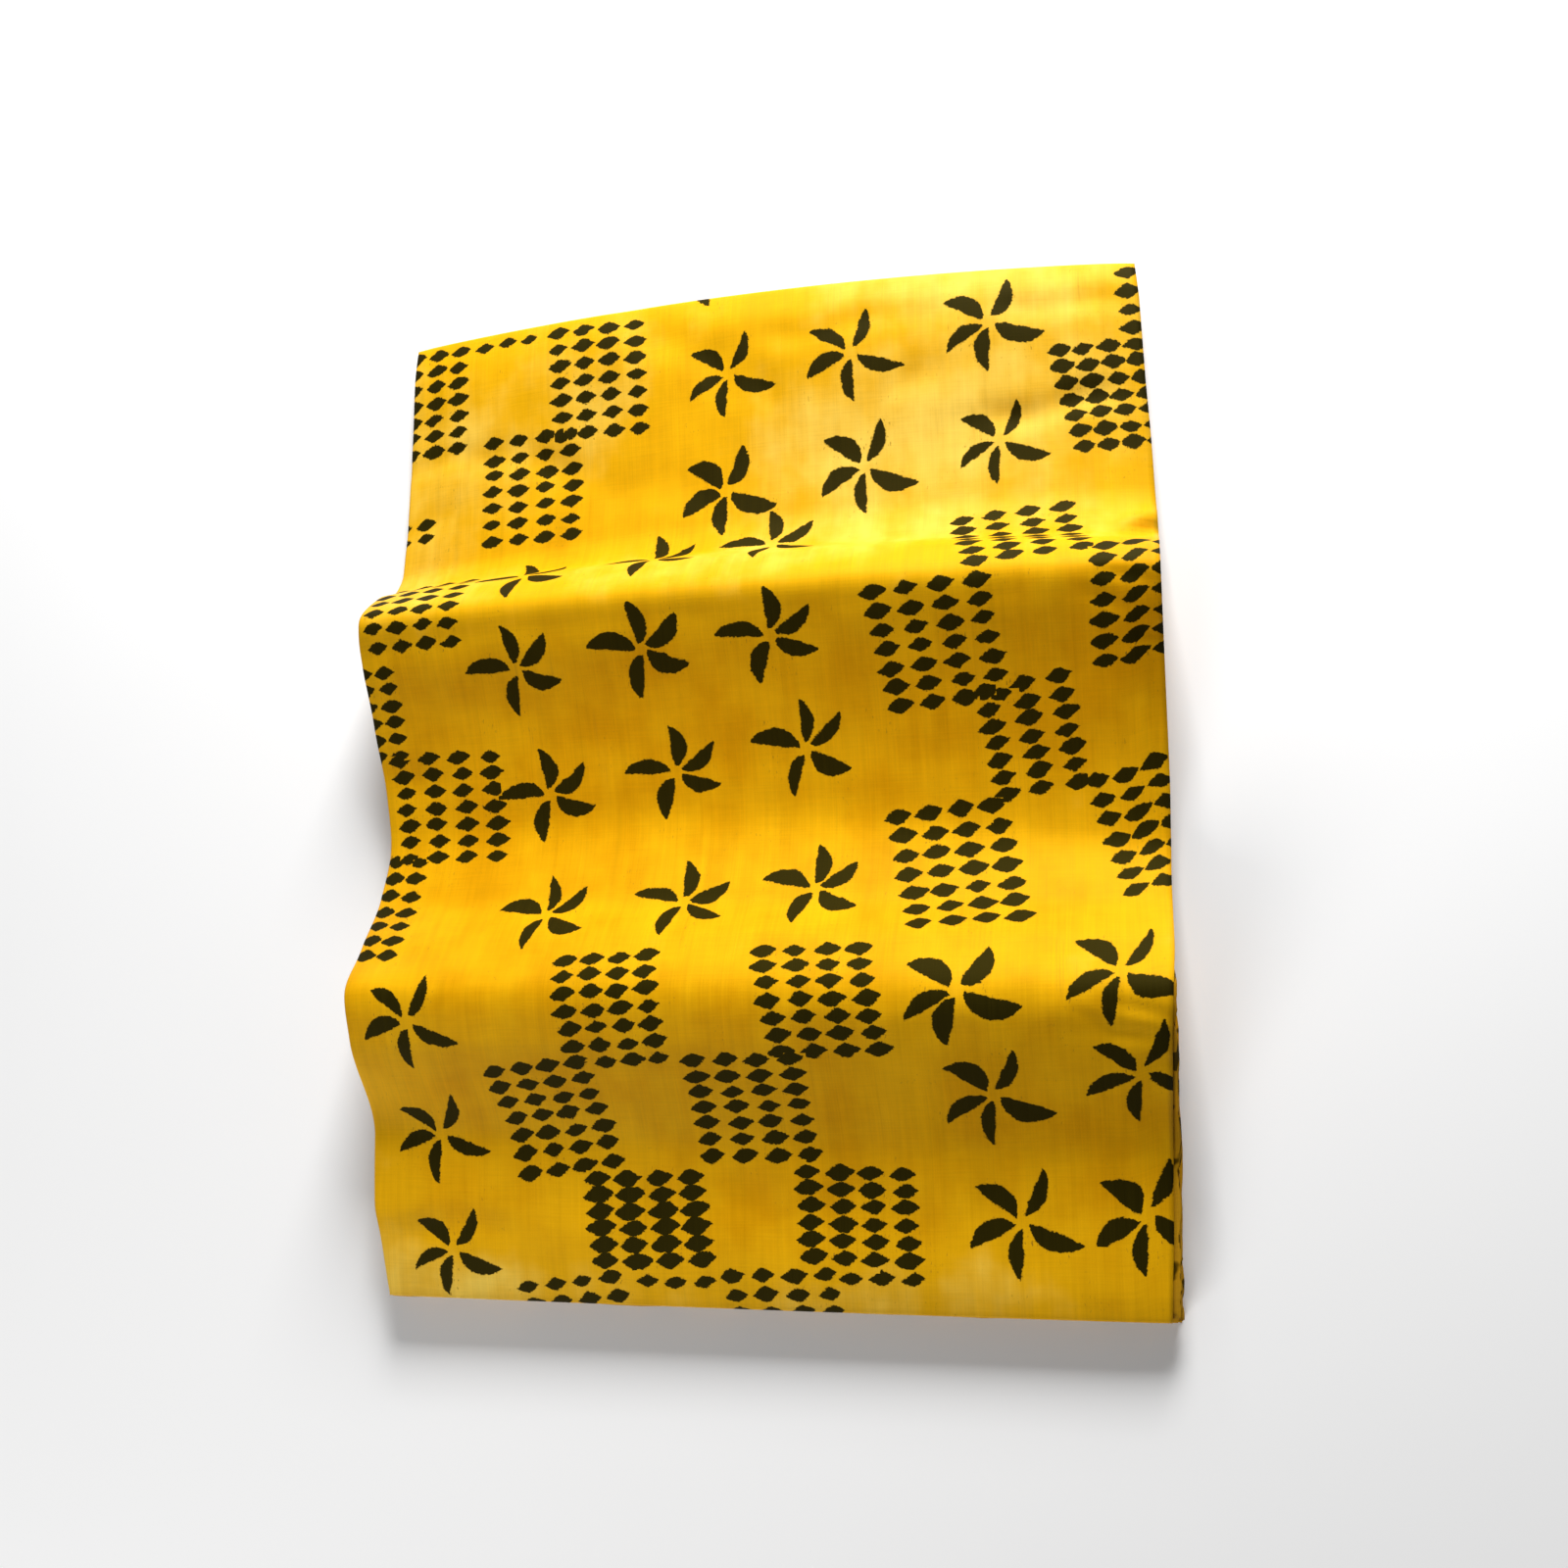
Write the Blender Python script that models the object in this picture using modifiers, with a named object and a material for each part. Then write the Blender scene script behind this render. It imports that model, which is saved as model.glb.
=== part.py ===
"""A folded length of stamped cotton cloth, lying flat with two soft ridges across it.

Metres, +Z up. +X is the right of the cloth as it is looked at, +Y its far end. The
origin is on the surface that the cloth lies on, under the middle of its box.

The cloth is folded in half along its left side, and then to and fro along its length.
So the left side, the back and the front are rounded folds, and the right side shows
the woven edges of the leaves.
"""
import math

import bmesh
import bpy
import numpy as np

# The leaves and the folds between them
LEAF = 0.0015             # wall of one leaf
LEAF_GAP = 0.0005         # clear space between two leaves
FOLD_RADIUS = 0.0035      # outer radius where the top leaf turns down at a folded side
FOLD_TURN = math.radians(160)
TURN_STEPS = 4
COLUMNS = 14
EDGE_SAG = 0.004          # how much lower the pile is at its sides than inside
SAG_REACH = 0.020

# The edge of the hidden layers: thin folds that stand out, and recesses between them
HIDDEN_FOLDS = 4
RISE_SHARES = (0.0, 0.24, 0.55, 0.86)   # how far each fold rises with the ridges
FOLD_SHARE = 0.78                       # of its share of the pile, where that is flat
FOLD_GROWTH = 0.12                      # how a fold thickens as the pile gets taller
FOLD_MOST = 0.0046
EDGE_INSET = 0.0008
RECESS_LEAST = 0.0022
RECESS_GROWTH = 0.9
RECESS_MOST = 0.014
RIM = FOLD_RADIUS + 2 * LEAF_GAP        # the top leaf's lip lies in this rim
RIGHT_RIM = 0.003
CORNER_INSET = 0.002
CORNER_DROP = 0.001

# One row for each fold line across the cloth, from the back edge to the front edge.
# y and z: where the line runs and how high the top leaf is, at the left, middle and right.
# left, right: the sides of the top leaf. under: the right side of the leaf below it.
# steps: how many mesh rows lead to the next fold line.
FOLD_COLUMNS = ("name", "y_left", "y_middle", "y_right", "z_left", "z_middle", "z_right",
                "left", "right", "under", "steps")
FOLD_LINES = (
    ("back_edge", 0.366, 0.377, 0.368, 0.021, 0.029, 0.022, -0.285, 0.286, 0.283, 2),
    ("back_roll", 0.342, 0.349, 0.343, 0.022, 0.032, 0.025, -0.286, 0.288, 0.285, 3),
    ("tier", 0.281, 0.281, 0.278, 0.019, 0.024, 0.022, -0.288, 0.290, 0.286, 2),
    ("tier_low", 0.222, 0.236, 0.234, 0.020, 0.020, 0.020, -0.289, 0.292, 0.288, 2),
    ("foot_1", 0.178, 0.200, 0.197, 0.0215, 0.0215, 0.022, -0.291, 0.293, 0.289, 3),
    ("rise_1", 0.160, 0.171, 0.157, 0.031, 0.034, 0.042, -0.292, 0.294, 0.290, 3),
    ("top_1", 0.148, 0.156, 0.1375, 0.058, 0.060, 0.079, -0.292, 0.294, 0.290, 3),
    ("crest_1", 0.120, 0.127, 0.1185, 0.0865, 0.0815, 0.0885, -0.292, 0.294, 0.290, 3),
    ("brow_1", 0.100, 0.108, 0.100, 0.079, 0.0745, 0.081, -0.294, 0.294, 0.290, 3),
    ("slope_1", 0.046, 0.050, 0.050, 0.053, 0.0493, 0.0555, -0.294, 0.294, 0.290, 3),
    ("slope_low", -0.008, 0.003, -0.008, 0.0348, 0.0332, 0.0300, -0.291, 0.294, 0.289, 2),
    ("valley", -0.042, -0.031, -0.053, 0.0290, 0.0270, 0.0230, -0.290, 0.293, 0.289, 3),
    ("rise_2", -0.083, -0.087, -0.093, 0.0405, 0.0440, 0.0405, -0.291, 0.292, 0.289, 3),
    ("back_2", -0.122, -0.122, -0.127, 0.070, 0.074, 0.070, -0.290, 0.292, 0.290, 3),
    ("crest_2", -0.156, -0.157, -0.160, 0.093, 0.091, 0.092, -0.289, 0.290, 0.292, 3),
    ("brow_2", -0.188, -0.186, -0.188, 0.085, 0.084, 0.084, -0.288, 0.288, 0.292, 4),
    ("foot_2", -0.258, -0.268, -0.271, 0.043, 0.041, 0.038, -0.288, 0.285, 0.291, 3),
    ("ripple", -0.309, -0.320, -0.326, 0.042, 0.036, 0.034, -0.287, 0.283, 0.289, 2),
    ("front_lip", -0.342, -0.350, -0.355, 0.035, 0.033, 0.032, -0.283, 0.281, 0.288, 2),
    ("front_edge", -0.3735, -0.3745, -0.3735, 0.031, 0.029, 0.029, -0.279, 0.280, 0.287, 0),
)
HALF_WIDTH = 0.285        # x of the left and right columns of the table
LINE_NUMBERS = np.arange(len(FOLD_LINES), dtype=float)
LAST_LINE = float(len(FOLD_LINES) - 1)

# Colour, roughness and metallic value of each sub-part
FINISHES = {
    "top_leaf": ((0.83, 0.52, 0.02), 0.42, 0.0),
    "under_leaf": ((0.62, 0.33, 0.02), 0.5, 0.0),
    "hidden_layers": ((0.70, 0.41, 0.02), 0.55, 0.0),
}


def column(name):
    """All the values of one named column of the fold table."""
    return np.array([row[FOLD_COLUMNS.index(name)] for row in FOLD_LINES])


FOLDS = {name: column(name) for name in FOLD_COLUMNS[1:]}


def across(prefix, x):
    """The fold lines' y or z at x: a parabola through the left, middle and right values."""
    t = x / HALF_WIDTH
    left = FOLDS[prefix + "_left"]
    middle = FOLDS[prefix + "_middle"]
    right = FOLDS[prefix + "_right"]
    return middle + t * (right - left) / 2 + t * t * ((right + left) / 2 - middle)


def smooth_curve(knots, values, where):
    """A curve through the knots that has no hump or dip between two of them."""
    steps = np.diff(knots)
    rises = np.diff(values) / steps
    slopes = np.zeros_like(values)
    slopes[0] = rises[0]
    slopes[-1] = rises[-1]
    for k in range(1, len(values) - 1):
        if rises[k - 1] * rises[k] > 0:
            slopes[k] = 2 / (1 / rises[k - 1] + 1 / rises[k])
    k = int(np.clip(np.searchsorted(knots, where) - 1, 0, len(steps) - 1))
    t = (where - knots[k]) / steps[k]
    ease = t * t * (3 - 2 * t)
    lean = t * (1 - t) * steps[k] * ((1 - t) * slopes[k] - t * slopes[k + 1])
    return values[k] * (1 - ease) + values[k + 1] * ease + lean


def side(name, row):
    """The x of a side at a mesh row, where whole row numbers are the fold lines."""
    return smooth_curve(LINE_NUMBERS, FOLDS[name], row)


def row_y(x, row):
    """The y of a mesh row at x: the rows follow the fold lines."""
    return float(np.interp(row, LINE_NUMBERS, across("y", x)))


def row_at(x, y):
    """The number of the mesh row that would pass through a place."""
    return float(np.interp(-y, -across("y", x), LINE_NUMBERS))


def height(x, y):
    """The top of the pile at a place, with its sides a little lower than its middle."""
    lines_y = across("y", x)[::-1]
    lines_z = across("z", x)[::-1]
    top = smooth_curve(lines_y, lines_z, min(max(y, lines_y[0]), lines_y[-1]))
    row = row_at(x, y)
    inside_x = min(x - side("left", row), side("right", row) - x)
    inside_y = min(lines_y[-1] - y, y - lines_y[0])
    sag = math.hypot(math.exp(-inside_x / SAG_REACH), math.exp(-inside_y / SAG_REACH))
    return top - EDGE_SAG * sag


def facing(x, y):
    """The direction square to the top of the pile at a place."""
    step = 0.002
    lean_x = (height(x + step, y) - height(x - step, y)) / (2 * step)
    lean_y = (height(x, y + step) - height(x, y - step)) / (2 * step)
    normal = np.array((-lean_x, -lean_y, 1.0))
    return normal / np.linalg.norm(normal)


def below(x, y, depth):
    """The point that lies a depth under the top of the pile, square to its surface."""
    return np.array((x, y, height(x, y))) - facing(x, y) * depth


def mesh_rows():
    """Row numbers of the mesh, closer together where a fold line asks for more steps."""
    rows = []
    for k, steps in enumerate(FOLDS["steps"].astype(int)):
        rows += [k + step / steps for step in range(steps)]
    return rows + [LAST_LINE]


def mesh_shares():
    """Shares of the width for the columns, closer together near the sides."""
    even = np.linspace(0, 1, COLUMNS + 1)
    return 0.5 * even + 0.25 * (1 - np.cos(math.pi * even))


def column_x(row, share):
    """The x of a column in a row, between the left fold and the right side."""
    start = side("left", row) + FOLD_RADIUS
    return start + (side("right", row) - start) * share


def turn_angles():
    """Angles of the mesh lines round a folded side, from its end to its start."""
    return [FOLD_TURN * step / TURN_STEPS for step in range(TURN_STEPS, 0, -1)]


def grid_mesh(place, columns, rows):
    """A grid with each point where place(column, row) says, and its numbers kept on it."""
    grid = bmesh.new()
    column_layer = grid.verts.layers.int.new("column")
    row_layer = grid.verts.layers.int.new("row")
    bmesh.ops.create_grid(grid, x_segments=columns - 1, y_segments=rows - 1, size=1)
    for vert in grid.verts:
        vert[column_layer] = round((vert.co.x + 1) / 2 * (columns - 1))
        vert[row_layer] = round((1 - vert.co.y) / 2 * (rows - 1))
        vert.co = place(vert[column_layer], vert[row_layer])
    return grid


def to_object(name, grid):
    """The named object that holds a finished mesh."""
    mesh = bpy.data.meshes.new(name)
    grid.to_mesh(mesh)
    grid.free()
    return bpy.data.objects.new(name, mesh)


def add_wall(piece):
    """Give an open sheet its wall, on its under side."""
    wall = piece.modifiers.new("wall", "SOLIDIFY")
    wall.thickness = LEAF
    wall.offset = -1
    wall.use_quality_normals = True


def make_top_leaf():
    """The leaf that shows: its left, back and front sides turn down round a fold."""
    turns = turn_angles()
    columns = [("turn", angle) for angle in turns]
    columns += [("share", share) for share in mesh_shares()]
    lines = [("back", angle) for angle in turns]
    lines += [("row", row) for row in mesh_rows()]
    lines += [("front", angle) for angle in reversed(turns)]

    def place(i, j):
        kind, value = columns[i]
        line, at = lines[j]
        row = {"back": 0.0, "front": LAST_LINE}.get(line, at)
        turn_x = value if kind == "turn" else 0.0
        turn_y = 0.0 if line == "row" else at
        x = column_x(row, 0.0 if kind == "turn" else value) - FOLD_RADIUS * math.sin(turn_x)
        ends = across("y", x)
        back = ends[0] - FOLD_RADIUS
        front = ends[-1] + FOLD_RADIUS
        y = min(max(row_y(x, row), front), back)
        if line == "back":
            y = back + FOLD_RADIUS * math.sin(turn_y)
        if line == "front":
            y = front - FOLD_RADIUS * math.sin(turn_y)
        drop = FOLD_RADIUS * max(1 - math.cos(turn_x), 1 - math.cos(turn_y))
        return below(x, y, drop)

    piece = to_object("top_leaf", grid_mesh(place, len(columns), len(lines)))
    add_wall(piece)
    return piece


def inner_grid(inset, right_inset, depth):
    """A sheet that lies under the top leaf, set back from the left, back and front."""
    shares = mesh_shares()
    rows = mesh_rows()

    def place(i, j):
        x = column_x(rows[j], shares[i])
        if i == 0:
            x = side("left", rows[j]) + inset
        if i == COLUMNS:
            x = side("under", rows[j]) - right_inset
        ends = across("y", x)
        y = min(max(row_y(x, rows[j]), ends[-1] + inset), ends[0] - inset)
        return below(x, y, depth)

    return grid_mesh(place, len(shares), len(rows))


def make_under_leaf():
    """The other half of the top pair: it shows past the top leaf at the lower right."""
    sheet = inner_grid(FOLD_RADIUS + LEAF_GAP, 0.0, LEAF + LEAF_GAP)
    piece = to_object("under_leaf", sheet)
    add_wall(piece)
    return piece


def edge_profile(tall, least):
    """Level and inset of each line round the hidden layers, from the rim to the surface.

    tall is how high the rim is at this place, and least how high it is at its lowest.
    """
    share = least / HIDDEN_FOLDS
    thick = min(FOLD_MOST, share * FOLD_SHARE + FOLD_GROWTH * (tall - least))
    profile = [(tall, RIM)]
    over = tall
    for k in reversed(range(HIDDEN_FOLDS)):
        middle = share * (k + 0.5) + (tall - least) * RISE_SHARES[k]
        top = min(middle + thick / 2, tall - LEAF_GAP)
        bottom = middle - thick / 2 if k else 0.0
        recess = min(RECESS_MOST, RECESS_LEAST + RECESS_GROWTH * (over - top))
        if over < tall:
            profile.append((over, recess))
        profile += [(top, recess), (top, EDGE_INSET), (bottom, EDGE_INSET)]
        over = bottom
    return profile


def make_hidden_layers():
    """The leaves that do not show, as one rounded solid with their edges round it."""
    depth = 2 * (LEAF + LEAF_GAP)
    lip = 2 * FOLD_RADIUS + LEAF_GAP
    solid = inner_grid(RIM, RIGHT_RIM, depth)
    column_layer = solid.verts.layers.int["column"]
    row_layer = solid.verts.layers.int["row"]
    last_row = max(vert[row_layer] for vert in solid.verts)
    outward_x = {0: -1, COLUMNS: 1}
    outward_y = {0: 1, last_row: -1}

    edges = [edge for edge in solid.edges if edge.is_boundary]
    rim = {}
    for vert in {vert for edge in edges for vert in edge.verts}:
        out_x = outward_x.get(vert[column_layer], 0)
        out_y = outward_y.get(vert[row_layer], 0)
        tall = vert.co.z - (lip - depth) / facing(vert.co.x, vert.co.y)[2]
        if out_x and out_y:
            tall -= CORNER_DROP
            vert.co.x -= out_x * CORNER_INSET
            vert.co.y -= out_y * CORNER_INSET
        rim[vert[column_layer], vert[row_layer]] = (vert.co.copy(), out_x, out_y, tall)
    least = min(tall for start, out_x, out_y, tall in rim.values())

    for line in range(len(edge_profile(least, least))):
        grown = bmesh.ops.extrude_edge_only(solid, edges=edges)["geom"]
        edges = [item for item in grown
                 if isinstance(item, bmesh.types.BMEdge) and item.is_boundary]
        for vert in {vert for edge in edges for vert in edge.verts}:
            start, out_x, out_y, tall = rim[vert[column_layer], vert[row_layer]]
            level, inset = edge_profile(tall, least)[line]
            side_rim = RIGHT_RIM if out_x > 0 else RIM
            vert.co.x = start.x + out_x * (side_rim - inset)
            vert.co.y = start.y + out_y * (RIM - inset)
            vert.co.z = level
    bmesh.ops.holes_fill(solid, edges=edges, sides=0)
    bmesh.ops.recalc_face_normals(solid, faces=solid.faces)
    return to_object("hidden_layers", solid)


def finish(name):
    """The sub-part's own material."""
    colour, roughness, metallic = FINISHES[name]
    material = bpy.data.materials.new(name)
    material.use_nodes = True
    shader = material.node_tree.nodes["Principled BSDF"]
    shader.inputs["Base Color"].default_value = (*colour, 1.0)
    shader.inputs["Roughness"].default_value = roughness
    shader.inputs["Metallic"].default_value = metallic
    return material


def main():
    for old in list(bpy.data.objects):
        bpy.data.objects.remove(old)
    cloth = bpy.data.collections.new("ankara_fabric")
    bpy.context.scene.collection.children.link(cloth)
    origin = bpy.data.objects.new("cloth_origin", None)
    cloth.objects.link(origin)
    for make in (make_top_leaf, make_under_leaf, make_hidden_layers):
        piece = make()
        piece.data.shade_smooth()
        piece.data.set_sharp_from_angle(angle=math.radians(40))
        piece.data.materials.append(finish(piece.name))
        piece.parent = origin
        cloth.objects.link(piece)


main()
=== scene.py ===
import math

import bpy
import numpy as np
from bpy.props import FloatProperty, FloatVectorProperty, IntProperty, PointerProperty
from mathutils import Matrix, Vector


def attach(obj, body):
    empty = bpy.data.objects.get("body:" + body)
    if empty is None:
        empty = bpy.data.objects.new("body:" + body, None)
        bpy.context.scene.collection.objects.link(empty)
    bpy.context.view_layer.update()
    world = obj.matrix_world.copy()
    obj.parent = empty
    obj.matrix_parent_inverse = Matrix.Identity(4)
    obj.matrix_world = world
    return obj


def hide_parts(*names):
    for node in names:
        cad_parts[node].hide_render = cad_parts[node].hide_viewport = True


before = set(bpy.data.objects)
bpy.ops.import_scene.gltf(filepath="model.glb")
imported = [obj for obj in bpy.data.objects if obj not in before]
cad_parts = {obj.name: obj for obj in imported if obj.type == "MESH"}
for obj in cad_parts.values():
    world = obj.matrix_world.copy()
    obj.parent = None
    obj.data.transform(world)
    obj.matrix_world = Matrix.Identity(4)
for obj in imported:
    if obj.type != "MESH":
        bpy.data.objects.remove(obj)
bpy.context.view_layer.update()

bl_info = {
    "name": "Folded stamped cotton",
    "version": (1, 0, 0),
    "blender": (4, 5, 0),
    "location": "3D View > Sidebar > Cotton",
    "description": "A folded length of stamped cotton cloth with two soft ridges",
    "category": "Object",
}

# The fold form, in metres: the same table as the solids have

FOLD_RADIUS = 0.0035      # outer radius where the top leaf turns down at a folded side
FOLD_TURN = math.radians(160)
EDGE_SAG = 0.004          # how much lower the pile is at its sides than inside
SAG_REACH = 0.020
SLOPE_STEP = 0.002        # how far apart two heights are taken to find the slope
HALF_WIDTH = 0.285        # x of the left and right columns of the table
FOLD_COLUMNS = ("name", "y_left", "y_middle", "y_right", "z_left", "z_middle", "z_right",
                "left", "right", "under")
FOLD_LINES = (
    ("back_edge", 0.366, 0.377, 0.368, 0.021, 0.029, 0.022, -0.285, 0.286, 0.283),
    ("back_roll", 0.342, 0.349, 0.343, 0.022, 0.032, 0.025, -0.286, 0.288, 0.285),
    ("tier", 0.281, 0.281, 0.278, 0.019, 0.024, 0.022, -0.288, 0.290, 0.286),
    ("tier_low", 0.222, 0.236, 0.234, 0.020, 0.020, 0.020, -0.289, 0.292, 0.288),
    ("foot_1", 0.178, 0.200, 0.197, 0.0215, 0.0215, 0.022, -0.291, 0.293, 0.289),
    ("rise_1", 0.160, 0.171, 0.157, 0.031, 0.034, 0.042, -0.292, 0.294, 0.290),
    ("top_1", 0.148, 0.156, 0.1375, 0.058, 0.060, 0.079, -0.292, 0.294, 0.290),
    ("crest_1", 0.120, 0.127, 0.1185, 0.0865, 0.0815, 0.0885, -0.292, 0.294, 0.290),
    ("brow_1", 0.100, 0.108, 0.100, 0.079, 0.0745, 0.081, -0.294, 0.294, 0.290),
    ("slope_1", 0.046, 0.050, 0.050, 0.053, 0.0493, 0.0555, -0.294, 0.294, 0.290),
    ("slope_low", -0.008, 0.003, -0.008, 0.0348, 0.0332, 0.0300, -0.291, 0.294, 0.289),
    ("valley", -0.042, -0.031, -0.053, 0.0290, 0.0270, 0.0230, -0.290, 0.293, 0.289),
    ("rise_2", -0.083, -0.087, -0.093, 0.0405, 0.0440, 0.0405, -0.291, 0.292, 0.289),
    ("back_2", -0.122, -0.122, -0.127, 0.070, 0.074, 0.070, -0.290, 0.292, 0.290),
    ("crest_2", -0.156, -0.157, -0.160, 0.093, 0.091, 0.092, -0.289, 0.290, 0.292),
    ("brow_2", -0.188, -0.186, -0.188, 0.085, 0.084, 0.084, -0.288, 0.288, 0.292),
    ("foot_2", -0.258, -0.268, -0.271, 0.043, 0.041, 0.038, -0.288, 0.285, 0.291),
    ("ripple", -0.309, -0.320, -0.326, 0.042, 0.036, 0.034, -0.287, 0.283, 0.289),
    ("front_lip", -0.342, -0.350, -0.355, 0.035, 0.033, 0.032, -0.283, 0.281, 0.288),
    ("front_edge", -0.3735, -0.3745, -0.3735, 0.031, 0.029, 0.029, -0.279, 0.280, 0.287),
)
FOLDS = {name: np.array([row[FOLD_COLUMNS.index(name)] for row in FOLD_LINES])
         for name in FOLD_COLUMNS[1:]}
LINE_NUMBERS = np.arange(len(FOLD_LINES), dtype=float)
LAST_LINE = float(len(FOLD_LINES) - 1)

# Soft creases, given one by one. A positive depth is a trough and a negative one a ridge.
# turn: degrees from +X, anticlockwise seen from above. width: half the trough's width.
CREASE_COLUMNS = ("x", "y", "length", "width", "depth", "turn")
CREASES = (
    (0.292, 0.157, 0.080, 0.0060, 0.0065, 14),
    (0.288, 0.170, 0.070, 0.0055, -0.0055, 14),
    (0.294, 0.136, 0.060, 0.0050, 0.0034, -24),
    (0.276, 0.112, 0.070, 0.0045, 0.0026, -12),
    (0.262, 0.096, 0.060, 0.0050, 0.0018, -30),
    (0.284, 0.076, 0.070, 0.0060, 0.0028, 8),
    (0.297, 0.055, 0.110, 0.0200, 0.0060, 80),
    (0.276, -0.174, 0.080, 0.0050, 0.0022, -16),
    (0.266, -0.188, 0.090, 0.0055, 0.0024, -8),
    (0.284, -0.206, 0.060, 0.0050, 0.0018, 12),
    (0.240, -0.178, 0.050, 0.0040, 0.0012, -34),
    (-0.050, 0.332, 0.180, 0.0180, 0.0052, -34),
    (0.010, 0.300, 0.120, 0.0110, 0.0020, -58),
    (-0.190, 0.262, 0.180, 0.0140, 0.0042, -10),
    (-0.262, 0.268, 0.080, 0.0090, 0.0032, 12),
    (0.222, 0.262, 0.190, 0.0110, 0.0042, 6),
    (0.120, 0.290, 0.140, 0.0120, 0.0018, 24),
    (0.060, 0.338, 0.260, 0.0110, 0.0026, 4),
    (0.235, 0.338, 0.150, 0.0100, 0.0030, -3),
    (-0.100, 0.230, 0.260, 0.0170, 0.0024, -8),
    (-0.240, -0.322, 0.200, 0.0120, 0.0034, 2),
    (0.020, -0.302, 0.560, 0.0220, 0.0030, -1),
    (0.170, 0.104, 0.500, 0.0140, -0.0020, -3),
    (-0.160, 0.092, 0.500, 0.0160, -0.0016, 3),
    (0.180, -0.174, 0.520, 0.0140, -0.0022, 0),
    (0.180, 0.050, 0.300, 0.0220, 0.0020, 3),
    (-0.150, 0.040, 0.260, 0.0240, 0.0018, -4),
    (0.100, -0.240, 0.320, 0.0240, 0.0014, 2),
    (-0.262, 0.222, 0.110, 0.0120, 0.0024, 24),
    (-0.270, 0.010, 0.090, 0.0140, 0.0020, -18),
    (-0.276, 0.100, 0.070, 0.0100, 0.0018, 16),
    (-0.274, -0.130, 0.080, 0.0110, 0.0018, -12),
)


def named_rows(columns, table):
    """Each row of a table as values under the names of its columns."""
    return [dict(zip(columns, row)) for row in table]


def across(prefix, x):
    """The fold lines' y or z at each x: a parabola through the left, middle and right values."""
    t = (x / HALF_WIDTH)[..., None]
    left, middle, right = (FOLDS[prefix + end] for end in ("_left", "_middle", "_right"))
    return middle + t * (right - left) / 2 + t * t * ((right + left) / 2 - middle)


def interval(knots, where):
    """The number of the interval between knots that each place is in."""
    found = (where[..., None] >= knots).sum(-1) - 1
    return np.clip(found, 0, knots.shape[-1] - 2)


def pick(values, index):
    """One value of each row."""
    return np.take_along_axis(values, index[..., None], -1)[..., 0]


def straight_curve(knots, values, where):
    """Straight lines from knot to knot."""
    k = interval(knots, where)
    start, end = pick(knots, k), pick(knots, k + 1)
    t = np.clip((where - start) / (end - start), 0, 1)
    return pick(values, k) * (1 - t) + pick(values, k + 1) * t


def smooth_curve(knots, values, where):
    """A curve through the knots that has no hump or dip between two of them."""
    steps = np.diff(knots)
    rises = np.diff(values) / steps
    before, after = rises[..., :-1], rises[..., 1:]
    same_way = before * after > 0
    slopes = np.empty_like(values)
    slopes[..., 0] = rises[..., 0]
    slopes[..., -1] = rises[..., -1]
    slopes[..., 1:-1] = np.where(same_way,
                                 2 * before * after / np.where(same_way, before + after, 1), 0)
    k = interval(knots, where)
    wide = pick(steps, k)
    t = (where - pick(knots, k)) / wide
    ease = t * t * (3 - 2 * t)
    lean = t * (1 - t) * wide * ((1 - t) * pick(slopes, k) - t * pick(slopes, k + 1))
    return pick(values, k) * (1 - ease) + pick(values, k + 1) * ease + lean


def for_each(values, places):
    """The same row of values for every place."""
    return np.broadcast_to(values, (*places.shape, len(values)))


def side(name, row):
    """The x of a side at each row number, where whole numbers are the fold lines."""
    return smooth_curve(for_each(LINE_NUMBERS, row), for_each(FOLDS[name], row), row)


def row_y(x, row):
    """The y of each row number at x: the rows follow the fold lines."""
    return straight_curve(for_each(LINE_NUMBERS, x), across("y", x), row)


def row_at(x, y):
    """The row number that would pass through each place."""
    return straight_curve(-across("y", x), for_each(LINE_NUMBERS, x), -y)


def between_ends(x, row, inset):
    """The y of each row number at x, with the first and last rows moved in by inset."""
    lines = across("y", x)
    first, last = lines[..., -1], lines[..., 0]
    share = (row_y(x, row) - first) / (last - first)
    return first + inset + share * (last - first - 2 * inset)


def creases(x, y):
    """How deep the listed creases are at each place."""
    deep = np.zeros_like(x)
    for crease in named_rows(CREASE_COLUMNS, CREASES):
        turn, width = math.radians(crease["turn"]), crease["width"]
        off_x, off_y = x - crease["x"], y - crease["y"]
        along = off_x * math.cos(turn) + off_y * math.sin(turn)
        aside = off_y * math.cos(turn) - off_x * math.sin(turn)
        aside = aside + 0.25 * width * np.sin(along * 70 + crease["x"] * 40)
        reach = np.clip(1 - (2 * along / crease["length"]) ** 2, 0, 1) ** 2
        uneven = 0.8 + 0.2 * np.sin(along * 110 + crease["y"] * 90)
        deep += crease["depth"] * reach * uneven * np.exp(-(aside / width) ** 2)
    return deep


def height(x, y, soft=1.0):
    """The top of the pile at each place; soft is the share of the creases that it has."""
    lines_y = across("y", x)[..., ::-1]
    lines_z = across("z", x)[..., ::-1]
    first, last = lines_y[..., 0], lines_y[..., -1]
    top = smooth_curve(lines_y, lines_z, np.clip(y, first, last))
    row = row_at(x, y)
    inside_x = np.minimum(x - side("left", row), side("right", row) - x)
    inside_y = np.minimum(last - y, y - first)
    sag = np.hypot(np.exp(-inside_x / SAG_REACH), np.exp(-inside_y / SAG_REACH))
    return top - EDGE_SAG * sag - soft * creases(x, y)


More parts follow.
